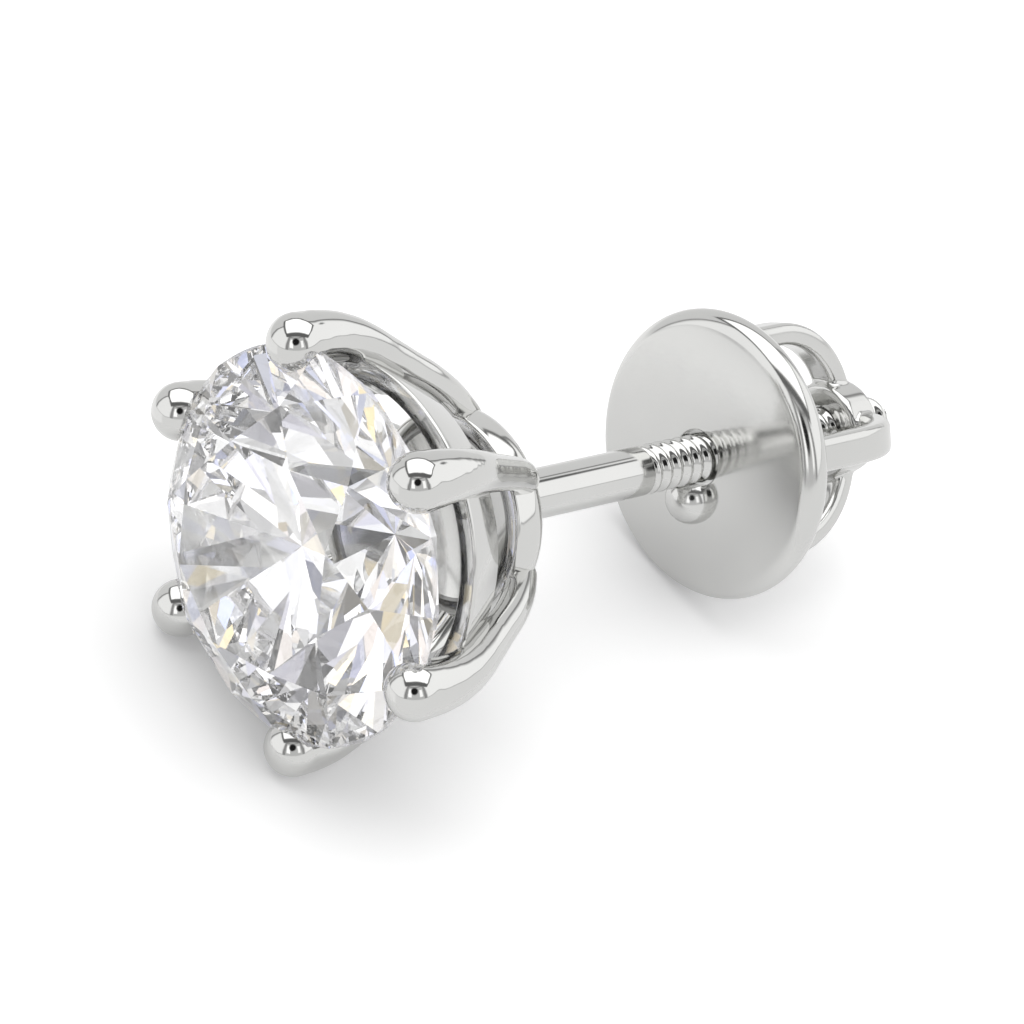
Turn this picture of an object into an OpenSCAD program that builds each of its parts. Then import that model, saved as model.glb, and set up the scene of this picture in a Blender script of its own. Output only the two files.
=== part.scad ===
// Diamond stud earring: a round brilliant in a six-prong head on a threaded post, with its screw back.
// All lengths are in millimetres. A place along the post is measured from the middle of the girdle,
// positive towards the screw back.

/* [Stone] */
// Width of the stone across its girdle
stone_d = 6.5; // [6.3:0.05:6.7]
// Width of the table as a share of the stone's width
table_share = 0.57; // [0.54:0.01:0.61]
// Slope of the eight main crown facets in degrees
crown_angle = 34.5; // [33:0.5:36]
// Slope of the eight main pavilion facets in degrees
pavilion_angle = 40.8; // [40.2:0.2:41.4]
// Height of the girdle band
girdle_h = 0.12; // [0.08:0.01:0.16]
// Length of the star facets as a share of the crown's run from table to girdle
star_share = 0.5; // [0.45:0.01:0.55]
// Length of the lower girdle facets as a share of the run from girdle to culet
lower_share = 0.77; // [0.72:0.01:0.82]

/* [Head] */
// Diameter of the round tip of a prong
tip_d = 0.98; // [0.94:0.01:1.02]
// Distance of a tip's centre from the post's axis
tip_r = 3.32; // [3.28:0.01:3.36]
// Place of a tip's centre along the post
tip_place = -0.1; // [-0.14:0.01:-0.06]
// Diameter of a prong's wire in its bend
wire_d = 0.58; // [0.54:0.01:0.62]
// Radius of the bend along the middle of the wire
bend_r = 2.63; // [2.5:0.01:2.7]
// Angle through which a prong bends in towards the post
bend_angle = 40; // [39:0.5:41]
// Diameter of a prong where it runs into the cup
prong_end_d = 0.44; // [0.42:0.01:0.46]
// Diameter of the round cup that carries the prongs
cup_d = 3.44; // [3.4:0.02:3.48]
// Place of the cup's front edge along the post
cup_front = 3.12; // [3.1:0.01:3.14]
// Radius of the cup's domed back
cap_r = 2.25; // [2.23:0.01:2.27]
// Place of the dome's top, where the post leaves the cup
cap_top = 4.45; // [4.43:0.01:4.47]
// Length of the gallery rail along the post
rail_l = 0.94; // [0.88:0.02:1]
// Wall thickness of the gallery rail
rail_t = 0.36; // [0.3:0.02:0.4]
// Clearance between the stone and its seats
seat_gap = 0.03; // [0.02:0.01:0.05]

/* [Post] */
// Diameter of the post
post_d = 0.86; // [0.8:0.02:0.9]
// Place where the smooth shank ends and the thread starts
thread_start = 7.6; // [7.2:0.1:8]
// Place of the post's end
post_end = 13.6; // [13.4:0.1:14]
// Distance from one turn of the thread to the next
thread_pitch = 0.25; // [0.22:0.01:0.3]
// Depth of the thread
thread_depth = 0.08; // [0.05:0.01:0.1]

/* [Screw back] */
// Diameter of the disc over its rolled rim
disc_d = 5.12; // [5:0.04:5.24]
// Place of the disc's front face along the post
disc_place = 9; // [8.9:0.1:9.2]
// Thickness of the rolled rim
rim_t = 0.6; // [0.56:0.02:0.64]
// Radius of the dome with which the front face falls towards the rim
dome_r = 20; // [16:1:24]
// Diameter of the clearance hole in the disc
hole_d = 1; // [0.98:0.01:1.04]
// Diameter of the small pip beside the hole
pip_d = 0.92; // [0.88:0.02:0.96]
// Distance of the pip's centre from the post's axis
pip_r = 0.74; // [0.71:0.01:0.77]
// Width of an arm of the cage
arm_w = 0.62; // [0.58:0.02:0.66]
// Thickness of an arm of the cage
arm_t = 0.4; // [0.36:0.02:0.44]
// Distance of the arms' middle from the post's axis
arm_r = 1.88; // [1.85:0.01:1.91]
// Radius of an arm's bend along its middle
arm_bend_r = 1.5; // [1.45:0.01:1.55]
// Place of the cage's rear end along the post
cage_end = 12.81; // [12.75:0.01:12.87]
// Outer diameter of the threaded collar at the end of the cage
collar_d = 1.7; // [1.6:0.05:1.8]
// Length of the collar
collar_l = 0.68; // [0.64:0.02:0.8]
// Running clearance between collar and post, all round
bore_gap = 0.03; // [0.02:0.01:0.05]

/* [Hidden] */
$fn = 72;
// How far a cutter runs past what it cuts
over = 1;

stone_r = stone_d / 2;
post_r = post_d / 2;
tip_rad = tip_d / 2;
cup_r = cup_d / 2;
rim_rad = rim_t / 2;
prong_n = 6;
arm_n = 4;
cage_turn = 52;
pip_turn = 67;

// Crown: the table, eight kites, eight stars and sixteen upper girdle facets
fold = 45;
table_r = stone_r * table_share;
crown_h = (stone_r - table_r) * tan(crown_angle);
star_in = table_r * cos(fold / 2);
star_r = star_in + star_share * (stone_r - star_in);
star_h = (stone_r - star_r * cos(fold / 2)) * tan(crown_angle);
star_slope = atan((crown_h - star_h) / (star_r - star_in));

// Pavilion: eight mains and sixteen lower girdle facets
pavilion_h = stone_r * tan(pavilion_angle);
lower_r = stone_r * (1 - lower_share);
lower_h = (stone_r - lower_r * cos(fold / 2)) * tan(pavilion_angle);

// Height over the girdle's edge of the plane through three points, at the middle of the stone,
// and the plane's slope and turn
function unit(v) = v / norm(v);
function plane_of(a, b, c) = let (n = cross(b - a, c - a)) unit(n[2] < 0 ? -n : n);
function rim_point(r, turn, h) = [r * cos(turn), r * sin(turn), h];
upper_plane = plane_of(rim_point(stone_r, 0, 0), rim_point(stone_r, fold / 2, 0),
    rim_point(star_r, fold / 2, star_h));
lower_plane = plane_of(rim_point(stone_r, 0, 0), rim_point(stone_r, fold / 2, 0),
    rim_point(lower_r, fold / 2, lower_h));
function slope_of(n) = acos(n[2]);
function turn_of(n) = atan2(n[1], n[0]);
function reach_of(n, p) = n * p;

// Prongs: a taper behind the tip, a bend at one wire radius, and a straight run into the cup
wire_r = wire_d / 2;
taper_l = 1.05;
taper_start = 0.96;
taper_end = 0.76;
bend_place = tip_place + 0.48;
run_place = bend_place + bend_r * sin(bend_angle);
prong_end = 3.95;
run_l = (prong_end - run_place) / cos(bend_angle);
// The run starts a little inside the bend, a hair thinner than the wire
run_back = 0.05;
run_start = 0.98;

// The cup's dished front, and where the post starts inside its metal
dish_r = 2;
dish_edge = 1.5;
dish_place = cup_front - sqrt(pow(dish_r, 2) - pow(dish_edge, 2));
post_start = cap_top - 0.35;

// Thread: narrow grooves between low crests
groove_l = thread_pitch * 0.4;
crest_fall = 0.02;
end_chamfer = 0.1;
turns = floor((post_end - end_chamfer - thread_start) / thread_pitch);

// The rail's outer face leans with the prongs
rail_front = 1.05;
rail_r = 2.95;
rail_lean = 0.45;

// Disc: the dome runs on into the rolled rim, which stands a hair proud of it, and the back plane
// lies a little inside the rim
rim_proud = 0.003;
rim_down = disc_d / 2 - rim_rad;
rim_place = disc_place + dome_r - sqrt(pow(dome_r - rim_rad, 2) - pow(rim_down, 2)) - rim_proud;
rim_step = 0.16;
disc_back = rim_place + rim_rad - rim_step;

// Cage arms: straight off the disc, then a quarter turn in to the collar
arm_foot = rim_place;
arm_in_r = arm_r - arm_bend_r;
arm_inset = 0.04;
arm_bend = cage_end - arm_inset - arm_t / 2 - arm_bend_r;
arm_round = 0.33;

// Rest: two prong tips and the disc's rim touch the floor
tip_down = tip_r * cos(180 / prong_n);
contact_run = rim_place - tip_place;
tilt = atan((tip_down - rim_down) / contact_run)
    + asin((tip_rad - rim_rad) / norm([contact_run, tip_down - rim_down]));
lift = tip_place * sin(tilt) + tip_down * cos(tilt) + tip_rad;
table_place = -girdle_h / 2 - crown_h;
front_y = table_place * cos(tilt) - table_r * sin(tilt);
back_y = post_end * cos(tilt) + (post_r - end_chamfer) * sin(tilt);

module at_rest() {
    translate([0, -(front_y + back_y) / 2, lift])
        rotate([-(90 + tilt), 0, 0])
            children();
}

// Keeps all that lies below a plane of the given slope and turn, at a reach from the origin
module below(turn, slope, reach) {
    big = 3 * stone_d;
    rotate([0, 0, turn])
        rotate([0, slope, 0])
            translate([-big / 2, -big / 2, reach - big])
                cube(big);
}

module below_pair(k, plane) {
    intersection_for (side = [-1, 1])
        below(k * fold + side * turn_of(plane), slope_of(plane), reach_of(plane, [stone_r, 0, 0]));
}

module crown_facets() {
    intersection_for (k = [0:7])
        intersection() {
            below(k * fold, crown_angle, stone_r * sin(crown_angle));
            below((k + 0.5) * fold, star_slope, star_r * sin(star_slope) + star_h * cos(star_slope));
            below_pair(k, upper_plane);
        }
}

module pavilion_facets() {
    intersection_for (k = [0:7])
        intersection() {
            below(k * fold, pavilion_angle, stone_r * sin(pavilion_angle));
            below_pair(k, lower_plane);
        }
}

// The crown faces down the axis, away from the post
module cut_stone() {
    intersection() {
        translate([0, 0, table_place])
            cylinder(r = stone_r, h = crown_h + girdle_h + pavilion_h + over);
        translate([0, 0, -girdle_h / 2])
            mirror([0, 0, 1])
                crown_facets();
        translate([0, 0, girdle_h / 2])
            pavilion_facets();
    }
}

// A round body a little larger than the stone, which cuts the seats into the prongs
module seat_cutter() {
    half = girdle_h / 2 + seat_gap;
    r = stone_r + seat_gap;
    rotate_extrude()
        polygon([
            [0, half + pavilion_h],
            [r, half],
            [r, -half],
            [table_r, -half - crown_h],
            [0, -half - crown_h]
        ]);
}

// One prong in the plane of local x and z, x away from the post's axis
module prong() {
    translate([tip_r, 0, tip_place]) {
        sphere(tip_d / 2);
        cylinder(r1 = tip_d / 2 * taper_start, r2 = wire_r * taper_end, h = taper_l);
    }
    translate([tip_r - bend_r, 0, bend_place]) {
        rotate([90, 0, 0])
            rotate_extrude(angle = bend_angle)
                translate([bend_r, 0])
                    circle(wire_r);
        rotate([0, -bend_angle, 0])
            translate([bend_r, 0, -run_back])
                cylinder(r1 = wire_r * run_start, r2 = prong_end_d / 2, h = run_back + run_l);
    }
}

module gallery_rail() {
    rotate_extrude()
        polygon([
            [rail_r - rail_t, rail_front],
            [rail_r, rail_front],
            [rail_r - rail_lean, rail_front + rail_l],
            [rail_r - rail_lean - rail_t, rail_front + rail_l]
        ]);
}

module cup() {
    rotate_extrude()
        difference() {
            intersection() {
                translate([0, cap_top - cap_r])
                    circle(cap_r, $fn = 180);
                translate([0, cup_front])
                    square([cup_r, cup_r]);
            }
            translate([0, dish_place])
                circle(dish_r);
        }
}

// One turn of the thread: a narrow groove, then a crest that rises to a low ridge in its middle
function thread_turn(z) = [
    [post_r - thread_depth, z + groove_l / 2],
    [post_r - crest_fall, z + groove_l],
    [post_r, z + (thread_pitch + groove_l) / 2],
    [post_r - crest_fall, z + thread_pitch]
];

module post() {
    translate([0, 0, post_start])
        cylinder(r = post_r, h = thread_start - post_start);
    rotate_extrude()
        polygon(concat(
            [[0, thread_start], [post_r - crest_fall, thread_start]],
            [for (k = [0:turns - 1]) each thread_turn(thread_start + k * thread_pitch)],
            [[post_r - end_chamfer, post_end], [0, post_end]]
        ));
}

module setting_metal() {
    difference() {
        union() {
            for (k = [0:prong_n - 1])
                rotate([0, 0, k * 360 / prong_n])
                    prong();
            gallery_rail();
            cup();
        }
        seat_cutter();
    }
    post();
}

module disc() {
    rotate_extrude()
        union() {
            intersection() {
                translate([0, disc_place])
                    square([rim_down, disc_back - disc_place]);
                translate([0, disc_place + dome_r])
                    circle(dome_r, $fn = 360);
            }
            translate([rim_down, rim_place])
                circle(rim_rad, $fn = 48);
        }
}

// A strap's section with its edges rounded
module arm_section() {
    intersection() {
        circle(arm_round);
        square([arm_t, arm_w], center = true);
    }
}

module arm() {
    translate([arm_r, 0, arm_foot])
        linear_extrude(arm_bend - arm_foot)
            arm_section();
    translate([arm_in_r, 0, arm_bend])
        rotate([90, 0, 0])
            rotate_extrude(angle = 90)
                translate([arm_bend_r, 0])
                    arm_section();
}

module screw_back_metal() {
    difference() {
        union() {
            disc();
            rotate([0, 0, pip_turn])
                translate([pip_r, 0, disc_place])
                    sphere(pip_d / 2);
            for (k = [0:arm_n - 1])
                rotate([0, 0, cage_turn + k * 360 / arm_n])
                    arm();
            translate([0, 0, cage_end - collar_l])
                cylinder(r = collar_d / 2, h = collar_l);
        }
        translate([0, 0, disc_place - over])
            cylinder(r = hole_d / 2, h = rim_t + 2 * over);
        translate([0, 0, cage_end - collar_l - over])
            cylinder(r = post_r + bore_gap, h = collar_l + 2 * over);
    }
}

module stone() {
    color("aliceblue")
        at_rest()
            cut_stone();
}

module setting() {
    color("silver")
        at_rest()
            setting_metal();
}

module screw_back() {
    color("gainsboro")
        at_rest()
            screw_back_metal();
}

stone();
setting();
screw_back();
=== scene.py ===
import math

import bpy
from mathutils import Matrix, Vector


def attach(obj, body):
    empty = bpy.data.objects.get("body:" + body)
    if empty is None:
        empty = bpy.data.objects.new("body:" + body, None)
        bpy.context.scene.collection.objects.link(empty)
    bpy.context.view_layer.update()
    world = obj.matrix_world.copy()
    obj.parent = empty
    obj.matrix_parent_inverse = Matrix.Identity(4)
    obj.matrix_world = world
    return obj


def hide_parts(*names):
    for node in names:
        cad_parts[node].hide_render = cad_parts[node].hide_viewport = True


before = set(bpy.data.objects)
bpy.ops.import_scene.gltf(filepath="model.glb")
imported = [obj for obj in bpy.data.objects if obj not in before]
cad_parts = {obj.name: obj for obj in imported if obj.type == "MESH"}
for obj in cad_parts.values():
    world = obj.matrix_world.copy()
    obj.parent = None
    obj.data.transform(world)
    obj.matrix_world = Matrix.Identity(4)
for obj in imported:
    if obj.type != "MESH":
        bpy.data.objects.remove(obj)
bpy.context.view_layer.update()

# Pieces are modelled upright in millimetres with the post along +Z, and then laid down in metres
restPlace = {"tilt": 4.835071, "forward": -6.203216, "lift": 3.346544}
mm = 0.001
softUnder = 40   # edges flatter than this many degrees are shaded smooth


def pick(*objs):
    # makes these the only selected objects, the first one active
    bpy.ops.object.select_all(action="DESELECT")
    for obj in objs:
        obj.select_set(True)
    bpy.context.view_layer.objects.active = objs[0]


def applyModifier(obj, kind, **settings):
    pick(obj)
    modifier = obj.modifiers.new("step", kind)
    for key, value in settings.items():
        setattr(modifier, key, value)
    bpy.ops.object.modifier_apply(modifier=modifier.name)


def applyPlace(obj):
    pick(obj)
    bpy.ops.object.transform_apply(location=True, rotation=True, scale=True)


def cleanMesh(obj, gap=1e-4):
    pick(obj)
    bpy.ops.object.mode_set(mode="EDIT")
    bpy.ops.mesh.select_all(action="SELECT")
    bpy.ops.mesh.remove_doubles(threshold=gap)
    bpy.ops.mesh.normals_make_consistent(inside=False)
    bpy.ops.object.mode_set(mode="OBJECT")


def dropCrumbs(obj):
    # keeps the largest connected part, without the slivers that a cut can leave
    pick(obj)
    bpy.ops.mesh.separate(type="LOOSE")
    found = sorted(bpy.context.selected_objects, key=lambda part: -len(part.data.vertices))
    print("  parts of", obj.name, [len(part.data.vertices) for part in found])
    for crumb in found[1:]:
        bpy.data.objects.remove(crumb, do_unlink=True)
    return found[0]


def joinAll(parts):
    pick(*parts)
    bpy.ops.object.join()
    return parts[0]


def combine(obj, others, operation="UNION"):
    for other in others:
        applyModifier(obj, "BOOLEAN", object=other, operation=operation, solver="EXACT")
        bpy.data.objects.remove(other, do_unlink=True)
    return obj


def copyTurned(obj, degrees):
    # a copy with its own mesh, turned about the post
    pick(obj)
    bpy.ops.object.duplicate(linked=False)
    twin = bpy.context.object
    twin.rotation_euler.z = math.radians(degrees)
    applyPlace(twin)
    return twin


def ringOf(obj, count, start=0):
    copies = [copyTurned(obj, start + k * 360 / count) for k in range(count)]
    bpy.data.objects.remove(obj, do_unlink=True)
    return copies


def arcPoints(centre, radius, start, end, steps):
    # points of an arc in the plane of a profile, angles in degrees from the outward direction
    angles = [math.radians(start + (end - start) * k / steps) for k in range(steps + 1)]
    return [(centre[0] + radius * math.cos(a), centre[1] + radius * math.sin(a)) for a in angles]


def drawProfile(name, points):
    # a small plane merged to one vertex, extruded from point to point
    bpy.ops.object.select_all(action="DESELECT")
    bpy.ops.mesh.primitive_plane_add(size=0.01)
    obj = bpy.context.object
    obj.name = name
    bpy.ops.object.mode_set(mode="EDIT")
    bpy.ops.mesh.select_all(action="SELECT")
    bpy.ops.mesh.merge(type="CENTER")
    bpy.ops.transform.translate(value=(points[0][0], 0, points[0][1]))
    for here, there in zip(points, points[1:]):
        step = (there[0] - here[0], 0, there[1] - here[1])
        bpy.ops.mesh.extrude_region_move(TRANSFORM_OT_translate={"value": step})
    bpy.ops.object.mode_set(mode="OBJECT")
    return obj


def turnProfile(name, points, steps=128):
    obj = drawProfile(name, points)
    bpy.ops.object.mode_set(mode="EDIT")
    bpy.ops.mesh.select_all(action="SELECT")
    bpy.ops.mesh.spin(steps=steps, angle=math.tau, center=(0, 0, 0), axis=(0, 0, 1))
    bpy.ops.object.mode_set(mode="OBJECT")
    cleanMesh(obj)
    return obj


def addBall(name, centre, radius, segments=48):
    bpy.ops.object.select_all(action="DESELECT")
    bpy.ops.mesh.primitive_uv_sphere_add(segments=segments, ring_count=segments // 2, radius=radius,
                                         location=centre)
    obj = bpy.context.object
    obj.name = name
    applyPlace(obj)
    return obj


def sweepTube(name, stations, sides, smoothness):
    # a round wire through (out, along, half thickness), drawn as a curve and made a mesh
    bpy.ops.object.select_all(action="DESELECT")
    bpy.ops.curve.primitive_bezier_curve_add()
    obj = bpy.context.object
    obj.name = name
    spline = obj.data.splines[0]
    spline.bezier_points.add(len(stations) - 2)
    for point, (out, along, half) in zip(spline.bezier_points, stations):
        point.co = (out, 0, along)
        point.radius = half
        point.handle_left_type = "AUTO"
        point.handle_right_type = "AUTO"
    spline.radius_interpolation = "CARDINAL"
    spline.resolution_u = smoothness
    obj.data.dimensions = "3D"
    obj.data.bevel_depth = 1
    obj.data.bevel_resolution = sides
    obj.data.use_fill_caps = True
    applyPlace(obj)
    bpy.ops.object.convert(target="MESH")
    cleanMesh(obj)
    return obj


def fuseMetal(parts, grain, polish):
    # one skin over parts that run into each other, with small fillets where they meet
    obj = joinAll(parts)
    applyModifier(obj, "REMESH", mode="VOXEL", voxel_size=grain, adaptivity=0)
    applyModifier(obj, "SMOOTH", factor=0.5, iterations=polish)
    return obj


def layDown(obj, angle):
    obj.scale = (mm, mm, mm)
    obj.rotation_euler.x = -math.radians(90 + restPlace["tilt"])
    obj.location = (0, restPlace["forward"] * mm, restPlace["lift"] * mm)
    applyPlace(obj)
    if angle:
        bpy.ops.object.shade_smooth_by_angle(angle=math.radians(angle))


stone = {
    "width": 6.5, "table": 0.57, "crownAngle": 34.5, "pavilionAngle": 40.8,
    "girdle": 0.12, "starShare": 0.5, "lowerShare": 0.77, "girdleSides": 96, "mains": 8,
    "spare": 0.5,   # rough left behind the culet before the facets are cut
}
eighth = 360 / stone["mains"]   # degrees from one main facet to the next
stoneR = stone["width"] / 2
tableR = stoneR * stone["table"]
crownH = (stoneR - tableR) * math.tan(math.radians(stone["crownAngle"]))
pavilionH = stoneR * math.tan(math.radians(stone["pavilionAngle"]))


def facetThrough(radius, height):
    # the plane through a girdle point, the one half an eighth further on, and a point above that one
    half = math.radians(eighth / 2)
    low = Vector((stoneR, 0, 0))
    side = Vector((stoneR * math.cos(half), stoneR * math.sin(half), 0))
    high = Vector((radius * math.cos(half), radius * math.sin(half), height))
    normal = (side - low).cross(high - low).normalized()
    return normal if normal.z > 0 else -normal


def sloped(turn, slope):
    turn, slope = math.radians(turn), math.radians(slope)
    return Vector((math.sin(slope) * math.cos(turn), math.sin(slope) * math.sin(turn), math.cos(slope)))


def facetPlanes(mainAngle, radius, height, starSlope=None):
    # (normal, distance from the middle) of every facet of the crown or the pavilion, seen point up
    small = facetThrough(radius, height)
    flat = small.to_2d().length
    turn = math.degrees(math.atan2(small.y, small.x))
    slope = math.degrees(math.atan2(flat, small.z))
    planes = []
    for k in range(stone["mains"]):
        planes.append((sloped(eighth * k, mainAngle), stoneR * math.sin(math.radians(mainAngle))))
        for side in (-1, 1):
            planes.append((sloped(eighth * k + side * turn, slope), small.x * stoneR))
        if starSlope:
            starAngle = math.radians(starSlope)
            reach = radius * math.sin(starAngle) + height * math.cos(starAngle)
            planes.append((sloped(eighth * (k + 0.5), starSlope), reach))
    return planes


def cutFacet(normal, point):
    bpy.ops.mesh.select_all(action="SELECT")
    bpy.ops.mesh.bisect(plane_co=point, plane_no=normal, use_fill=True, clear_outer=True,
                        threshold=1e-6)


def makeStone():
    tan = {name: math.tan(math.radians(stone[name])) for name in ("crownAngle", "pavilionAngle")}
    halfFold = math.cos(math.radians(eighth / 2))
    starIn = tableR * halfFold
    starR = starIn + stone["starShare"] * (stoneR - starIn)
    starH = (stoneR - starR * halfFold) * tan["crownAngle"]
    starSlope = math.degrees(math.atan((crownH - starH) / (starR - starIn)))
    lowerR = stoneR * (1 - stone["lowerShare"])
    lowerH = (stoneR - lowerR * halfFold) * tan["pavilionAngle"]

    front = -stone["girdle"] / 2 - crownH
    rear = stone["girdle"] / 2 + pavilionH + stone["spare"]
    bpy.ops.object.select_all(action="DESELECT")
    bpy.ops.mesh.primitive_cylinder_add(vertices=stone["girdleSides"], radius=stoneR,
                                        depth=rear - front, location=(0, 0, (front + rear) / 2))
    obj = bpy.context.object
    obj.name = "diamond"
    applyPlace(obj)
    bpy.ops.object.mode_set(mode="EDIT")
    for normal, reach in facetPlanes(stone["crownAngle"], starR, starH, starSlope):
        down = Vector((normal.x, normal.y, -normal.z))
        cutFacet(down, down * reach - Vector((0, 0, stone["girdle"] / 2)))
    for normal, reach in facetPlanes(stone["pavilionAngle"], lowerR, lowerH):
        cutFacet(normal, normal * reach + Vector((0, 0, stone["girdle"] / 2)))
    bpy.ops.object.mode_set(mode="OBJECT")
    cleanMesh(obj, 1e-5)
    layDown(obj, 0)
    print("stone:", len(obj.data.polygons), "facets")
    return obj


head = {
    "prongs": 6, "tipRadius": 0.495,
    "railFront": 1.05, "railLength": 0.94, "railOut": 2.95, "railWall": 0.36, "railLean": 0.45,
    "railEdge": 0.05, "railTuck": 1.2, "cupRadius": 1.76, "cupFront": 3.12, "capRadius": 2.25,
    "capTop": 4.45, "cupEdge": 0.32, "cupSwell": 0.03, "lip": 0.07,
    "dishRadius": 5.0, "dishEdge": 1.5, "seatGap": 0.03, "grain": 0.038, "polish": 20,
}
# a prong from its tip to the cup: out from the post, along the post, half thickness
prongStations = (
    (3.32, -0.10, 0.485),
    (3.34, 0.35, 0.448),
    (3.28, 0.80, 0.402),
    (3.13, 1.25, 0.360),
    (2.90, 1.70, 0.325),
    (2.62, 2.20, 0.300),
    (2.28, 2.78, 0.282),
    (1.93, 3.22, 0.276),
    (1.60, 3.53, 0.272),
)
post = {
    "radius": 0.43, "start": 4.1, "threadStart": 7.6, "end": 13.6, "pitch": 0.25, "depth": 0.08,
    "crest": 0.428, "shoulder": 0.05, "tipChamfer": 0.1, "sides": 64, "steps": 12, "overlap": 0.1,
    "spare": 0.5,   # how far the thread's blank reaches back into the shank
}


def makeProng():
    first, last = prongStations[0], prongStations[-1]
    return fuseMetal([
        sweepTube("prong", prongStations, 12, 12),
        addBall("prongTip", (first[0], 0, first[1]), head["tipRadius"]),
        addBall("prongEnd", (last[0], 0, last[1]), last[2], 24),
    ], head["grain"], head["polish"])


def makeRail():
    # a leaning band with softly broken edges
    wall, lean, edge = head["railWall"], head["railLean"], head["railEdge"]
    tucked = edge * head["railTuck"]
    front, rear = head["railFront"], head["railFront"] + head["railLength"]
    outFront, outRear = head["railOut"], head["railOut"] - lean
    slant = math.degrees(math.atan2(lean, head["railLength"]))
    points = (
        arcPoints((outFront - tucked, front + edge), edge, -90, slant, 6)
        + arcPoints((outRear - edge, rear - edge), edge, slant, 90, 6)
        + arcPoints((outRear - wall + tucked, rear - edge), edge, 90, 180 + slant, 6)
        + arcPoints((outFront - wall + edge, front + edge), edge, 180 + slant, 270, 6)
    )
    return turnProfile("rail", points + points[:1], 160)


def makeCup():
    # a dome whose side is cut round and whose front is dished, with a full round shoulder between
    edge, lip, radius = head["cupEdge"], head["lip"], head["cupRadius"]
    capCentre = head["capTop"] - head["capRadius"]
    dishAt = head["cupFront"] - math.sqrt(head["dishRadius"] ** 2 - head["dishEdge"] ** 2)
    rim = math.degrees(math.acos(head["dishEdge"] / head["dishRadius"]))
    shoulder = math.degrees(math.acos((radius - edge) / (head["capRadius"] - edge)))
    shoulderAt = (radius - edge,
                  capCentre + (head["capRadius"] - edge) * math.sin(math.radians(shoulder)))
    side, swell = head["cupFront"] + lip, head["cupSwell"]
    points = (
        arcPoints((0, dishAt), head["dishRadius"], 90, rim, 24)
        + arcPoints((radius - swell - lip, side), lip, -90, 0, 8)
        + [(radius - swell * (1 - share) ** 2, side + (shoulderAt[1] - side) * share)
           for share in (0.15, 0.3, 0.45, 0.6, 0.75, 0.9)]
        + arcPoints(shoulderAt, edge, 0, shoulder, 14)
        + arcPoints((0, capCentre), head["capRadius"], shoulder, 90, 24)[1:]
    )
    return turnProfile("cup", points, 160)


def makeHead():
    metal = combine(makeCup(), [makeRail()] + ringOf(makeProng(), head["prongs"]))
    half = stone["girdle"] / 2 + head["seatGap"]
    edge = stoneR + head["seatGap"]
    seat = turnProfile("seat", [
        (0, half + pavilionH), (edge, half), (edge, -half), (tableR, -half - crownH),
        (0, -half - crownH),
    ])
    return combine(metal, [seat], "DIFFERENCE")


def makePost():
    # the loops along the shank keep its long faces evenly shaded up to the rounded shoulder
    length = post["threadStart"] - post["shoulder"] - post["start"]
    loops = [post["start"] + length * share for share in (0, 0.2, 0.4, 0.6, 0.8, 0.95, 0.99)]
    shank = turnProfile("shank", [(0, post["start"])] + [(post["radius"], place) for place in loops]
                        + arcPoints((post["radius"] - post["shoulder"],
                                     post["threadStart"] - post["shoulder"]),
                                    post["shoulder"], 0, 90, 6)
                        + [(0, post["threadStart"])], post["sides"])
    # one turn of the thread, a rounded crest between two narrow grooves, wound along the post
    steps, pitch = post["steps"], post["pitch"]
    wave = [(post["crest"] - post["depth"] * abs(math.cos(math.pi * k / steps)) ** 3,
             post["threadStart"] - 2 * pitch + pitch * k / steps) for k in range(steps + 1)]
    thread = drawProfile("thread", wave)
    turns = math.ceil((post["end"] - post["threadStart"]) / pitch) + 4
    applyModifier(thread, "SCREW", angle=math.tau, screw_offset=pitch, iterations=turns,
                  steps=post["sides"], render_steps=post["sides"], use_merge_vertices=True,
                  merge_threshold=1e-4)
    cleanMesh(thread)
    bpy.ops.object.mode_set(mode="EDIT")
    for place, outward in ((post["threadStart"] - post["overlap"], -1), (post["end"], 1)):
        bpy.ops.mesh.select_all(action="SELECT")
        bpy.ops.mesh.bisect(plane_co=(0, 0, place), plane_no=(0, 0, outward), use_fill=True,
                            clear_outer=True)
    bpy.ops.object.mode_set(mode="OBJECT")
    cleanMesh(thread)
    chamfer, wide = post["tipChamfer"], post["radius"] + post["overlap"]
    blank = turnProfile("blank", [
        (0, post["threadStart"] - post["spare"]), (wide, post["threadStart"] - post["spare"]),
        (wide, post["end"] - chamfer - post["overlap"]), (post["radius"] - chamfer, post["end"]),
        (0, post["end"]),
    ], post["sides"])
    combine(thread, [blank], "INTERSECT")
    return combine(shank, [thread])


def makeSetting():
    metal = dropCrumbs(combine(makeHead(), [makePost()]))
    metal.name = "prong_setting"
    metal.data.name = "prong_setting"
    layDown(metal, softUnder)
    print("setting:", len(metal.data.polygons), "faces")
    return metal


back = {
    "place": 9.0, "hole": 0.5, "edge": 0.025, "dome": 20, "rimOut": 2.56, "rimHalf": 0.3,
    "rollTo": 148, "rollLap": 0.01, "step": 0.16,
    "pipRadius": 0.46, "pipOut": 0.74, "pipTurn": 67,
    "arms": 4, "armTurn": 52, "armWidth": 0.62, "armThick": 0.4, "armOut": 1.88, "armBend": 1.5,
    "cageEnd": 12.81, "armInset": 0.04, "armEdge": 0.13,
    "collarRadius": 0.85, "collarLength": 0.68, "collarEdge": 0.08, "bore": 0.46, "boreFrom": 1.2,
    "grain": 0.035, "polish": 8,
}
# the dome touches the rolled rim from outside and runs on into it
rimRing = back["rimOut"] - back["rimHalf"]
rimPlace = (back["place"] + back["dome"]
            - math.sqrt((back["dome"] - back["rimHalf"]) ** 2 - rimRing ** 2))
beyond = post["end"] + 0.9   # the drill for the bore runs out past the post's end


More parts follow.
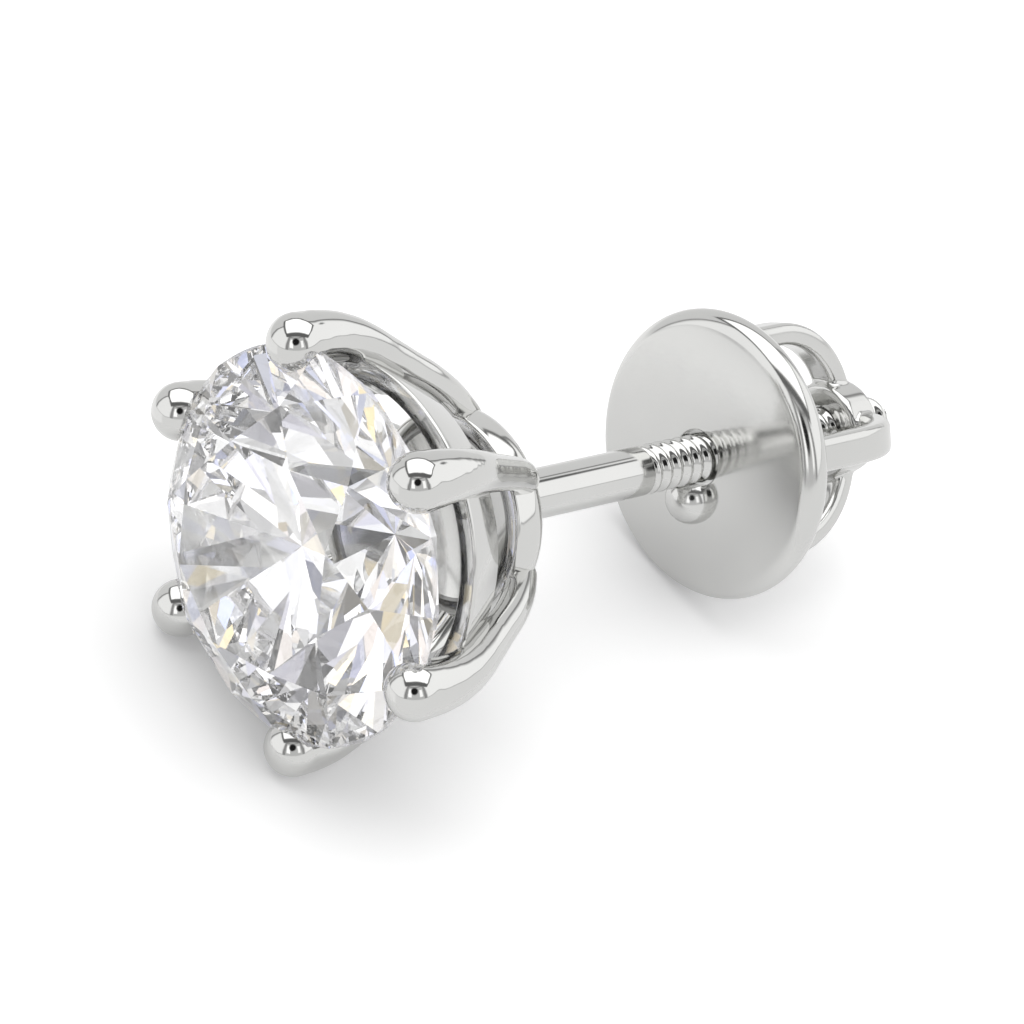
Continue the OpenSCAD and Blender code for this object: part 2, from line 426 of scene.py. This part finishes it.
def makeDisc():
    touch = math.asin(rimRing / (back["dome"] - back["rimHalf"]))
    start = math.asin((back["hole"] + back["edge"]) / back["dome"])
    dome = [(back["dome"] * math.sin(angle), back["place"] + back["dome"] * (1 - math.cos(angle)))
            for angle in [start + (touch - start) * k / 24 for k in range(25)]]
    roll = arcPoints((rimRing, rimPlace), back["rimHalf"], math.degrees(touch) - 90, back["rollTo"], 56)
    rearAt = rimPlace + back["rimHalf"] - back["step"]
    hole, edge = back["hole"], back["edge"]
    points = (
        [(hole, rearAt - edge)]
        + arcPoints((hole + edge, dome[0][1] + edge), edge, 180, 266, 5)
        + dome + roll[1:]
        + [(roll[-1][0] - back["rollLap"], rearAt), (hole + edge, rearAt), (hole, rearAt - edge)]
    )
    return turnProfile("screw_back_metal", points, 160)


def makeArm():
    # a strap section, drawn out behind the disc and spun a quarter turn in to the collar
    foot = rimPlace
    bendAt = back["cageEnd"] - back["armInset"] - back["armThick"] / 2 - back["armBend"]
    bpy.ops.object.select_all(action="DESELECT")
    bpy.ops.mesh.primitive_plane_add(size=1, location=(back["armOut"], 0, foot))
    obj = bpy.context.object
    obj.name = "arm"
    obj.scale = (back["armThick"], back["armWidth"], 1)
    applyPlace(obj)
    bpy.ops.object.mode_set(mode="EDIT")
    bpy.ops.mesh.select_all(action="SELECT")
    bpy.ops.mesh.bevel(offset=back["armEdge"], segments=6, affect="VERTICES")
    bpy.ops.mesh.select_all(action="SELECT")
    bpy.ops.mesh.extrude_region_move(TRANSFORM_OT_translate={"value": (0, 0, bendAt - foot)})
    bpy.ops.mesh.spin(steps=32, angle=math.radians(90), axis=(0, 1, 0),
                      center=(back["armOut"] - back["armBend"], 0, bendAt))
    bpy.ops.object.mode_set(mode="OBJECT")
    cleanMesh(obj)
    return obj


def makeScrewBack():
    disc = makeDisc()
    pip = addBall("pip", (back["pipOut"] * math.cos(math.radians(back["pipTurn"])),
                          back["pipOut"] * math.sin(math.radians(back["pipTurn"])), back["place"]),
                  back["pipRadius"])
    start, end, edge = back["cageEnd"] - back["collarLength"], back["cageEnd"], back["collarEdge"]
    collar = turnProfile("collar", [(0, start)]
                         + arcPoints((back["collarRadius"] - edge, start + edge), edge, -90, 0, 5)
                         + arcPoints((back["collarRadius"] - edge, end - edge), edge, 0, 90, 5)
                         + [(0, end)], 96)
    cage = fuseMetal([collar] + ringOf(makeArm(), back["arms"], back["armTurn"]), back["grain"],
                     back["polish"])
    inside = back["place"] + back["boreFrom"]
    cutter = turnProfile("cutter", [(0, inside), (back["bore"], inside), (back["bore"], beyond),
                                    (0, beyond)], 64)
    combine(cage, [cutter], "DIFFERENCE")
    near, far = back["place"] - 1, back["place"] + 1
    hole = turnProfile("hole", [(0, near), (back["hole"], near), (back["hole"], far), (0, far)], 64)
    combine(pip, [hole], "DIFFERENCE")
    metal = dropCrumbs(combine(disc, [pip, cage]))
    metal.name = "screw_back_metal"
    metal.data.name = "screw_back_metal"
    layDown(metal, softUnder)
    print("screw back:", len(metal.data.polygons), "faces")
    return metal


def addNode(tree, kind, place=(0, 0), **settings):
    node = tree.nodes.new(kind)
    node.location = place
    for key, value in settings.items():
        setattr(node, key, value)
    return node


def addMath(tree, operation, *values):
    node = addNode(tree, "ShaderNodeMath", operation=operation)
    for socket, value in zip(node.inputs, values):
        if isinstance(value, bpy.types.NodeSocket):
            tree.links.new(value, socket)
        else:
            socket.default_value = value
    return node.outputs[0]


wheel = {"markScale": 14000, "stretch": 0.12, "cloudScale": 900, "depth": 0.00001}


def makePolishGroup():
    # what a polishing wheel leaves: fine hazy marks and a very faint unevenness
    group = bpy.data.node_groups.new("polishMarks", "ShaderNodeTree")
    group.interface.new_socket("Haze", in_out="INPUT", socket_type="NodeSocketFloat")
    group.interface.new_socket("Marks", in_out="INPUT", socket_type="NodeSocketFloat")
    group.interface.new_socket("Unevenness", in_out="INPUT", socket_type="NodeSocketFloat")
    group.interface.new_socket("Roughness", in_out="OUTPUT", socket_type="NodeSocketFloat")
    group.interface.new_socket("Tone", in_out="OUTPUT", socket_type="NodeSocketFloat")
    group.interface.new_socket("Normal", in_out="OUTPUT", socket_type="NodeSocketVector")
    given = addNode(group, "NodeGroupInput", (-900, 0))
    result = addNode(group, "NodeGroupOutput", (600, 0))
    where = addNode(group, "ShaderNodeTexCoord", (-900, 300))
    stretch = addNode(group, "ShaderNodeMapping", (-700, 300))
    stretch.inputs["Scale"].default_value = (1, wheel["stretch"], 1)
    group.links.new(where.outputs["Object"], stretch.inputs["Vector"])
    marks = addNode(group, "ShaderNodeTexNoise", (-500, 300))
    marks.inputs["Scale"].default_value = wheel["markScale"]
    marks.inputs["Detail"].default_value = 3
    group.links.new(stretch.outputs["Vector"], marks.inputs["Vector"])
    cloud = addNode(group, "ShaderNodeTexNoise", (-500, 0))
    cloud.inputs["Scale"].default_value = wheel["cloudScale"]
    cloud.inputs["Detail"].default_value = 2
    group.links.new(where.outputs["Object"], cloud.inputs["Vector"])
    fine = addMath(group, "MULTIPLY", marks.outputs["Fac"], given.outputs["Marks"])
    wide = addMath(group, "MULTIPLY", cloud.outputs["Fac"], given.outputs["Haze"])
    group.links.new(addMath(group, "ADD", fine, wide), result.inputs["Roughness"])
    group.links.new(cloud.outputs["Fac"], result.inputs["Tone"])
    bump = addNode(group, "ShaderNodeBump", (300, -200))
    bump.inputs["Distance"].default_value = wheel["depth"]
    group.links.new(given.outputs["Unevenness"], bump.inputs["Strength"])
    group.links.new(cloud.outputs["Fac"], bump.inputs["Height"])
    group.links.new(bump.outputs["Normal"], result.inputs["Normal"])
    return group


def makeMetal(name, group, look):
    material = bpy.data.materials.new(name)
    material.use_nodes = True
    tree = material.node_tree
    shader = tree.nodes["Principled BSDF"]
    shader.inputs["Metallic"].default_value = 1
    polish = addNode(tree, "ShaderNodeGroup", (-500, 0), node_tree=group)
    polish.inputs["Haze"].default_value = look["haze"]
    polish.inputs["Marks"].default_value = look["marks"]
    polish.inputs["Unevenness"].default_value = look["unevenness"]
    tone = addNode(tree, "ShaderNodeMix", (-250, 200), data_type="RGBA")
    tone.inputs["A"].default_value = look["shade"]
    tone.inputs["B"].default_value = look["light"]
    tree.links.new(polish.outputs["Tone"], tone.inputs["Factor"])
    tree.links.new(tone.outputs["Result"], shader.inputs["Base Color"])
    tree.links.new(polish.outputs["Roughness"], shader.inputs["Roughness"])
    tree.links.new(polish.outputs["Normal"], shader.inputs["Normal"])
    return material


settingLook = {"haze": 0.09, "marks": 0.04, "unevenness": 0.05,
               "shade": (0.66, 0.66, 0.65, 1), "light": (0.71, 0.71, 0.695, 1)}
backLook = {"haze": 0.18, "marks": 0.06, "unevenness": 0.08,
            "shade": (0.65, 0.65, 0.64, 1), "light": (0.70, 0.70, 0.685, 1)}


# painted shade on the inside of the head, where light is blocked between stone and cup, in mm: out +
# slope x along stays under the limit
innerShadePaint = {"limit": 3.33, "slope": 0.56, "blend": 0.16, "start": (0.3, 0.8), "end": 3.15,
             "tone": (0.26, 0.26, 0.255, 1)}


def paintInnerShade(material):
    # painted shade: a darker grey base colour on the faces between the stone and the cup
    tree = material.node_tree
    tilt = math.radians(restPlace["tilt"])
    axis = (0, math.cos(tilt), -math.sin(tilt))
    where = addNode(tree, "ShaderNodeTexCoord", (-1500, 500))
    offset = addNode(tree, "ShaderNodeVectorMath", (-1300, 500), operation="SUBTRACT")
    offset.inputs[1].default_value = (0, restPlace["forward"] * mm, restPlace["lift"] * mm)
    tree.links.new(where.outputs["Object"], offset.inputs[0])
    level = addNode(tree, "ShaderNodeVectorMath", (-1100, 600), operation="DOT_PRODUCT")
    level.inputs[1].default_value = axis
    tree.links.new(offset.outputs["Vector"], level.inputs[0])
    turned = addNode(tree, "ShaderNodeVectorMath", (-1100, 400), operation="CROSS_PRODUCT")
    turned.inputs[1].default_value = axis
    tree.links.new(offset.outputs["Vector"], turned.inputs[0])
    out = addNode(tree, "ShaderNodeVectorMath", (-900, 400), operation="LENGTH")
    tree.links.new(turned.outputs["Vector"], out.inputs[0])
    along = addMath(tree, "DIVIDE", level.outputs["Value"], mm)
    reach = addMath(tree, "ADD", addMath(tree, "DIVIDE", out.outputs["Value"], mm),
                    addMath(tree, "MULTIPLY", along, innerShadePaint["slope"]))
    inner = addNode(tree, "ShaderNodeMapRange", (-500, 500), interpolation_type="SMOOTHSTEP")
    inner.inputs["From Min"].default_value = innerShadePaint["limit"] + innerShadePaint["blend"] / 2
    inner.inputs["From Max"].default_value = innerShadePaint["limit"] - innerShadePaint["blend"] / 2
    tree.links.new(reach, inner.inputs["Value"])
    front = addNode(tree, "ShaderNodeMapRange", (-500, 700), interpolation_type="SMOOTHSTEP")
    for name, place in zip(("From Min", "From Max"), innerShadePaint["start"]):
        front.inputs[name].default_value = place
    tree.links.new(along, front.inputs["Value"])
    mask = addMath(tree, "MULTIPLY", inner.outputs["Result"], front.outputs["Result"])
    mask = addMath(tree, "MULTIPLY", mask, addMath(tree, "LESS_THAN", along, innerShadePaint["end"]))
    # painted shade: the base colour is mixed towards the dark tone wherever the mask is set
    colour = tree.nodes["Principled BSDF"].inputs["Base Color"]
    shade = addNode(tree, "ShaderNodeMix", (-100, 400), data_type="RGBA")
    shade.inputs["B"].default_value = innerShadePaint["tone"]
    tree.links.new(mask, shade.inputs["Factor"])
    tree.links.new(colour.links[0].from_socket, shade.inputs["A"])
    tree.links.new(shade.outputs["Result"], colour)
    return material


diamondLook = {"index": 2.417, "band": 0.98, "frost": 0.3, "frostScale": 30000, "cloudScale": 400,
               "cool": (0.985, 0.99, 1, 1), "clear": (1, 1, 0.995, 1)}


def makeDiamond():
    material = bpy.data.materials.new("cutDiamond")
    material.use_nodes = True
    tree = material.node_tree
    shader = tree.nodes["Principled BSDF"]
    shader.inputs["Transmission Weight"].default_value = 1
    shader.inputs["IOR"].default_value = diamondLook["index"]
    # the girdle band is left finely frosted, the facets are clear
    where = addNode(tree, "ShaderNodeTexCoord", (-1300, 0))
    level = addNode(tree, "ShaderNodeVectorMath", (-1100, 0), operation="DOT_PRODUCT")
    tilt = math.radians(restPlace["tilt"])
    level.inputs[1].default_value = (0, math.cos(tilt), -math.sin(tilt))
    tree.links.new(where.outputs["Object"], level.inputs[0])
    middle = (restPlace["forward"] * math.cos(tilt) - restPlace["lift"] * math.sin(tilt)) * mm
    offset = addMath(tree, "ABSOLUTE", addMath(tree, "SUBTRACT", level.outputs["Value"], middle))
    girdle = addMath(tree, "LESS_THAN", offset, stone["girdle"] / 2 * mm * diamondLook["band"])
    frost = addNode(tree, "ShaderNodeTexNoise", (-700, 200))
    frost.inputs["Scale"].default_value = diamondLook["frostScale"]
    tree.links.new(where.outputs["Object"], frost.inputs["Vector"])
    frosted = addMath(tree, "MULTIPLY", frost.outputs["Fac"], diamondLook["frost"])
    tree.links.new(addMath(tree, "MULTIPLY", girdle, frosted), shader.inputs["Roughness"])
    clouds = addNode(tree, "ShaderNodeTexNoise", (-700, -200))
    clouds.inputs["Scale"].default_value = diamondLook["cloudScale"]
    tree.links.new(where.outputs["Object"], clouds.inputs["Vector"])
    tint = addNode(tree, "ShaderNodeMix", (-400, -200), data_type="RGBA")
    tint.inputs["A"].default_value = diamondLook["cool"]
    tint.inputs["B"].default_value = diamondLook["clear"]
    tree.links.new(clouds.outputs["Fac"], tint.inputs["Factor"])
    tree.links.new(tint.outputs["Result"], shader.inputs["Base Color"])
    return material


# where the photograph's camera stands to the earring, in millimetres
view = {
    "place": (31.618, -42.431, 44.687),
    "forward": (-0.474152, 0.614172, -0.630851),
    "up": (-0.660461, 0.225696, 0.716137),
    "lens": 140.625, "sensor": 36, "clip": (0.001, 10),
}


def makeCamera():
    data = bpy.data.cameras.new("camera")
    data.lens = view["lens"]
    data.sensor_width = view["sensor"]
    data.clip_start, data.clip_end = view["clip"]
    camera = bpy.data.objects.new("camera", data)
    bpy.context.scene.collection.objects.link(camera)
    behind = -Vector(view["forward"]).normalized()
    right = Vector(view["up"]).cross(behind).normalized()
    up = behind.cross(right)
    camera.matrix_world = (Matrix.Translation(Vector(view["place"]) * mm)
                           @ Matrix((right, up, behind)).transposed().to_4x4())
    bpy.context.scene.camera = camera


# The light tent round the earring, in degrees. The lens is a dark disc about the line to the camera, and
# the tent's horizon leans by "horizon" towards it
tent = {
    "horizon": 32, "wall": 0.82, "floor": 0.94, "seam": 0.30, "seamWidth": 3.6, "edge": 2.5,
    "softEdge": 9, "lensSize": 14, "lensFade": (-4, 2), "lens": 0.015, "floorFade": 0.8, "lowest": 0.02,
}
# soft panels: how far each reaches round the walls, positive to the camera's right, and how high
panels = {
    "card": {"glow": 0.66, "turn": (-29, 38), "height": (-2, 46)},
    "cardLeft": {"glow": 1.5, "turn": (-25, -9), "height": (8, 40)},
    "cardRight": {"glow": 1.4, "turn": (19, 33), "height": (8, 36)},
    "left": {"glow": 1.15, "turn": (-112, -34), "height": (0, 56)},
    "right": {"glow": 1.22, "turn": (43, 142), "height": (0, 58)},
}
# the ceiling's panel lies on a flat sheet: side / height and front / height
ceiling = {"glow": 1.75, "side": (-0.72, 1.15), "front": (-0.85, 0.46), "edge": 0.14,
           "seam": 0.16, "seamSide": 0.18, "seamNear": 0.4}
# a pale sheet that lies lower, far to the left
sheet = {"glow": 1.08, "turn": (-165, -68), "height": (-29, 3), "edge": 6}
# what the stone throws back to the eye: patches of the tent, some of them dim and a few of them tinted
sparkle = {"cells": 5.5, "low": 0.56, "high": 1.42, "ceiling": 1.2, "brightFrom": 0.6,
           "fire": 1, "rare": 2, "cool": (0.40, 0.50, 1, 1), "warm": (1, 0.80, 0.36, 1)}


def makeTent():
    world = bpy.data.worlds.new("lightTent")
    bpy.context.scene.world = world
    world.use_nodes = True
    tree = world.node_tree
    tree.nodes.clear()
    forward = Vector(view["forward"]).normalized()
    right = forward.cross(Vector(view["up"])).normalized()
    up = right.cross(forward)
    lean = math.radians(tent["horizon"])
    zenith = up * math.cos(lean) - forward * math.sin(lean)
    near = right.cross(zenith).normalized()
    where = addNode(tree, "ShaderNodeTexCoord")

    def along(axis):
        node = addNode(tree, "ShaderNodeVectorMath", operation="DOT_PRODUCT")
        node.inputs[1].default_value = axis
        tree.links.new(where.outputs["Generated"], node.inputs[0])
        return node.outputs["Value"]

    side, height, toCamera = along(right), along(zenith), along(near)
    lensAngle = addMath(tree, "DEGREES", addMath(tree, "ARCCOSINE", along(-forward)))
    turn = addMath(tree, "DEGREES", addMath(tree, "ARCTAN2", side, toCamera))
    rise = addMath(tree, "DEGREES", addMath(tree, "ARCSINE", height))

    def ramp(value, start, end):
        node = addNode(tree, "ShaderNodeMapRange", interpolation_type="SMOOTHSTEP")
        tree.links.new(value, node.inputs["Value"])
        node.inputs["From Min"].default_value = start
        node.inputs["From Max"].default_value = end
        return node.outputs["Result"]

    def between(value, span, edge):
        low, high = span
        return addMath(tree, "MULTIPLY", ramp(value, low, low + edge),
                       addMath(tree, "SUBTRACT", 1, ramp(value, high - edge, high)))

    def grow(span, by):
        return span[0] - by, span[1] + by

    def lay(under, over, mask):
        node = addNode(tree, "ShaderNodeMix", data_type="FLOAT")
        for socket, value in zip((node.inputs["Factor"], node.inputs["A"], node.inputs["B"]),
                                 (mask, under, over)):
            if isinstance(value, bpy.types.NodeSocket):
                tree.links.new(value, socket)
            else:
                socket.default_value = value
        return node.outputs["Result"]

    glow, edge, seam = tent["wall"], tent["edge"], tent["seamWidth"]
    # dark seams first, a little wider than the panels that lie over them
    for name in ("left", "right", "card"):
        panel = panels[name]
        mask = addMath(tree, "MULTIPLY", between(turn, grow(panel["turn"], seam), edge),
                       between(rise, grow(panel["height"], seam), edge))
        glow = lay(glow, tent["seam"], mask)
    for name, panel in panels.items():
        fade = edge if name.startswith("card") else tent["softEdge"]
        mask = addMath(tree, "MULTIPLY", between(turn, panel["turn"], fade),
                       between(rise, panel["height"], edge))
        glow = lay(glow, panel["glow"], mask)
    above = addMath(tree, "MAXIMUM", height, tent["lowest"])
    across = addMath(tree, "DIVIDE", side, above)
    ahead = addMath(tree, "DIVIDE", toCamera, above)
    behind, before = ceiling["front"]
    for level, aside, wider in ((ceiling["seam"], ceiling["seamSide"], ceiling["seamNear"]),
                                (ceiling["glow"], 0, 0)):
        mask = addMath(tree, "MULTIPLY",
                       between(across, grow(ceiling["side"], aside), ceiling["edge"]),
                       between(ahead, (behind - aside, before + wider), ceiling["edge"]))
        glow = lay(glow, level, mask)
    lensFrom, lensTo = [tent["lensSize"] + fade for fade in tent["lensFade"]]
    glow = lay(glow, tent["lens"], addMath(tree, "SUBTRACT", 1, ramp(lensAngle, lensFrom, lensTo)))
    glow = lay(glow, tent["floor"], ramp(rise, tent["floorFade"], -tent["floorFade"]))
    mask = addMath(tree, "MULTIPLY", between(turn, sheet["turn"], tent["softEdge"]),
                   between(rise, sheet["height"], sheet["edge"]))
    glow = lay(glow, sheet["glow"], mask)

    rays = addNode(tree, "ShaderNodeLightPath")
    cells = addNode(tree, "ShaderNodeTexVoronoi")
    cells.inputs["Scale"].default_value = sparkle["cells"]
    tree.links.new(where.outputs["Generated"], cells.inputs["Vector"])
    split = addNode(tree, "ShaderNodeSeparateColor")
    tree.links.new(cells.outputs["Color"], split.inputs["Color"])
    dimmed = addNode(tree, "ShaderNodeMapRange")
    dimmed.inputs["From Max"].default_value = sparkle["brightFrom"]
    dimmed.inputs["To Min"].default_value = sparkle["low"]
    dimmed.inputs["To Max"].default_value = sparkle["high"]
    tree.links.new(split.outputs["Red"], dimmed.inputs["Value"])
    inStone = addMath(tree, "MULTIPLY", addMath(tree, "MINIMUM", glow, sparkle["ceiling"]),
                      dimmed.outputs["Result"])
    glow = lay(glow, inStone, rays.outputs["Is Transmission Ray"])
    glow = lay(glow, 1.0, rays.outputs["Is Camera Ray"])
    light = addNode(tree, "ShaderNodeBackground")
    tree.links.new(glow, light.inputs["Strength"])
    tone = addNode(tree, "ShaderNodeMix", data_type="RGBA")
    tone.inputs["A"].default_value = sparkle["cool"]
    tone.inputs["B"].default_value = sparkle["warm"]
    tree.links.new(split.outputs["Green"], tone.inputs["Factor"])
    hue = addNode(tree, "ShaderNodeMix", data_type="RGBA")
    hue.inputs["A"].default_value = (1, 1, 1, 1)
    tree.links.new(tone.outputs["Result"], hue.inputs["B"])
    flash = addMath(tree, "MULTIPLY", addMath(tree, "POWER", split.outputs["Blue"], sparkle["rare"]),
                    sparkle["fire"])
    tree.links.new(addMath(tree, "MULTIPLY", rays.outputs["Is Transmission Ray"], flash),
                   hue.inputs["Factor"])
    tree.links.new(hue.outputs["Result"], light.inputs["Color"])
    result = addNode(tree, "ShaderNodeOutputWorld")
    tree.links.new(light.outputs["Background"], result.inputs["Surface"])


floorLook = {"albedo": 0.95, "fill": 0.30, "seenInMetal": 0.62, "fillInMetal": 0.36,
             "size": 0.6, "near": 0.5, "reach": (0.0085, 0.0125)}


def makeFloor():
    bpy.ops.object.select_all(action="DESELECT")
    bpy.ops.mesh.primitive_circle_add(vertices=96, radius=floorLook["size"], fill_type="NGON")
    floor = bpy.context.object
    floor.name = "floor"
    material = bpy.data.materials.new("paleFloor")
    material.use_nodes = True
    tree = material.node_tree
    tree.nodes.clear()
    paper = addNode(tree, "ShaderNodeBsdfDiffuse")
    paper.inputs["Color"].default_value = (floorLook["albedo"],) * 3 + (1,)
    fill = addNode(tree, "ShaderNodeEmission")
    fill.inputs["Strength"].default_value = floorLook["fill"]
    bright = addNode(tree, "ShaderNodeAddShader")
    tree.links.new(paper.outputs[0], bright.inputs[0])
    tree.links.new(fill.outputs[0], bright.inputs[1])
    # polished metal sees only the floor close by, and the tent's own grey beyond it
    matt = addNode(tree, "ShaderNodeBsdfDiffuse")
    matt.inputs["Color"].default_value = (floorLook["seenInMetal"],) * 3 + (1,)
    lit = addNode(tree, "ShaderNodeEmission")
    lit.inputs["Strength"].default_value = floorLook["fillInMetal"]
    dull = addNode(tree, "ShaderNodeAddShader")
    tree.links.new(matt.outputs[0], dull.inputs[0])
    tree.links.new(lit.outputs[0], dull.inputs[1])
    clear = addNode(tree, "ShaderNodeBsdfTransparent")
    where = addNode(tree, "ShaderNodeTexCoord")
    shrink = addNode(tree, "ShaderNodeMapping")
    shrink.inputs["Scale"].default_value = [1 / reach for reach in floorLook["reach"]] + [0]
    tree.links.new(where.outputs["Object"], shrink.inputs["Vector"])
    reach = addNode(tree, "ShaderNodeVectorMath", operation="LENGTH")
    tree.links.new(shrink.outputs["Vector"], reach.inputs[0])
    fade = addNode(tree, "ShaderNodeMapRange", interpolation_type="SMOOTHSTEP")
    fade.inputs["From Min"].default_value = floorLook["near"]
    fade.inputs["From Max"].default_value = 1
    tree.links.new(reach.outputs["Value"], fade.inputs["Value"])
    mirrored = addNode(tree, "ShaderNodeMixShader")
    tree.links.new(fade.outputs["Result"], mirrored.inputs[0])
    tree.links.new(dull.outputs[0], mirrored.inputs[1])
    tree.links.new(clear.outputs[0], mirrored.inputs[2])
    rays = addNode(tree, "ShaderNodeLightPath")
    either = addNode(tree, "ShaderNodeMixShader")
    tree.links.new(rays.outputs["Is Camera Ray"], either.inputs[0])
    tree.links.new(mirrored.outputs[0], either.inputs[1])
    tree.links.new(bright.outputs[0], either.inputs[2])
    result = addNode(tree, "ShaderNodeOutputMaterial")
    tree.links.new(either.outputs[0], result.inputs["Surface"])
    floor.data.materials.append(material)


def setFinish(obj, material):
    obj.data.materials.clear()
    obj.data.materials.append(material)


makeCamera()
makeTent()
makeFloor()
scene = bpy.context.scene
scene.view_settings.view_transform = "Standard"
bounces = 32   # light turns many times inside the stone
scene.cycles.max_bounces = bounces
scene.cycles.glossy_bounces = bounces
scene.cycles.transmission_bounces = bounces
scene.cycles.caustics_reflective = False
scene.cycles.caustics_refractive = False
print("studio ready")

diamond = makeStone()
setFinish(diamond, makeDiamond())
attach(diamond, "stud")
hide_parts("stone")

polishMarks = makePolishGroup()
setting = makeSetting()
# the setting's metal carries painted shade inside the head
setFinish(setting, paintInnerShade(makeMetal("whiteGold", polishMarks, settingLook)))
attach(setting, "stud")
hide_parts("setting")

screwBack = makeScrewBack()
setFinish(screwBack, makeMetal("whiteGoldBack", polishMarks, backLook))
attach(screwBack, "back")
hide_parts("screw_back")

print("all pieces placed")
